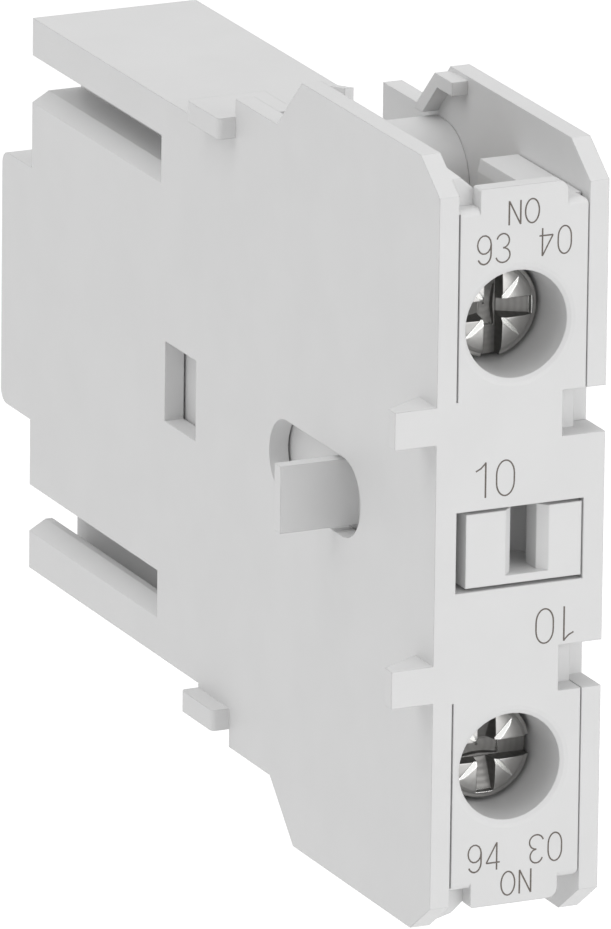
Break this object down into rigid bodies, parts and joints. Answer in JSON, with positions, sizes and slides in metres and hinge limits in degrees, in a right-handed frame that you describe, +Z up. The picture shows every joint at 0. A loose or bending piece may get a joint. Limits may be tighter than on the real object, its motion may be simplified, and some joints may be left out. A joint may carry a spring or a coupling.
{
  "type": "auxiliary contact block",
  "caption": "Slim clip-on contact block: a sliding carrier pushes a sprung bridge on to two fixed contacts, each wired under a clamp screw; side lug and front indicator move with it.",
  "frame": {"origin": "middle of the rear seat, in the plane that meets the device behind, half way across and half way up", "axes": "+X to the right seen from the front, +Y back towards the device it clips to, +Z up"},
  "size_m": [0.0134, 0.0575, 0.0434],
  "materials": {
    "housing_plastic": "fine matte, light grey",
    "cover_plastic": "fine matte, light grey",
    "carrier_plastic": "fine matte, light grey",
    "contact_brass": "rolled strip",
    "tip_silver": "satin silver",
    "plated_steel": "zinc plated",
    "screw_steel": "bright plated",
    "spring_steel": "drawn wire"
  },
  "bodies": {
    "housing": {"housing": "housing_plastic", "side_cover": "cover_plastic", "fixed_contact_upper": "contact_brass", "fixed_contact_lower": "contact_brass", "fixed_tip_upper": "tip_silver", "fixed_tip_lower": "tip_silver", "terminal_nut_upper": "plated_steel", "terminal_nut_lower": "plated_steel", "return_spring": "spring_steel"},
    "carrier": {"contact_carrier": "carrier_plastic", "contact_spring": "spring_steel"},
    "bridge": {"contact_bridge": "contact_brass", "bridge_tip_upper": "tip_silver", "bridge_tip_lower": "tip_silver"},
    "clamp_upper": {"clamp_plate_upper": "plated_steel", "spring_washer_upper": "plated_steel"},
    "clamp_lower": {"clamp_plate_lower": "plated_steel", "spring_washer_lower": "plated_steel"},
    "screw_upper": {"terminal_screw_upper": "screw_steel"},
    "screw_lower": {"terminal_screw_lower": "screw_steel"}
  },
  "joints": [
    {"name": "carrier_slide", "type": "slide", "parent": "housing", "child": "carrier", "axis": [0, 1, 0], "range_m": [0, 0.004], "stiffness_N_per_m": 250, "springref_m": -0.004, "deforming": ["return_spring"]},
    {"name": "bridge_slide", "type": "slide", "parent": "carrier", "child": "bridge", "axis": [0, 1, 0], "range_m": [-0.00142, 0], "deforming": ["contact_spring"]},
    {"name": "clamp_slide_upper", "type": "slide", "parent": "housing", "child": "clamp_upper", "axis": [0, 1, 0], "range_m": [0, 0.0022]},
    {"name": "screw_turn_upper", "type": "hinge", "parent": "clamp_upper", "child": "screw_upper", "pos_m": [-0.00032, -0.05045, 0.01243], "axis": [0, 1, 0], "range_deg": [0, 1321]},
    {"name": "clamp_slide_lower", "type": "slide", "parent": "housing", "child": "clamp_lower", "axis": [0, 1, 0], "range_m": [0, 0.0022]},
    {"name": "screw_turn_lower", "type": "hinge", "parent": "clamp_lower", "child": "screw_lower", "pos_m": [-0.00032, -0.05045, -0.01243], "axis": [0, 1, 0], "range_deg": [0, 1321]}
  ],
  "couplings": [
    {"joint": "bridge_slide", "follows": "carrier_slide", "ratio": -0.355},
    {"joint": "screw_turn_upper", "follows": "clamp_slide_upper", "rad_per_m": 10472},
    {"joint": "screw_turn_lower", "follows": "clamp_slide_lower", "rad_per_m": 10472}
  ]
}
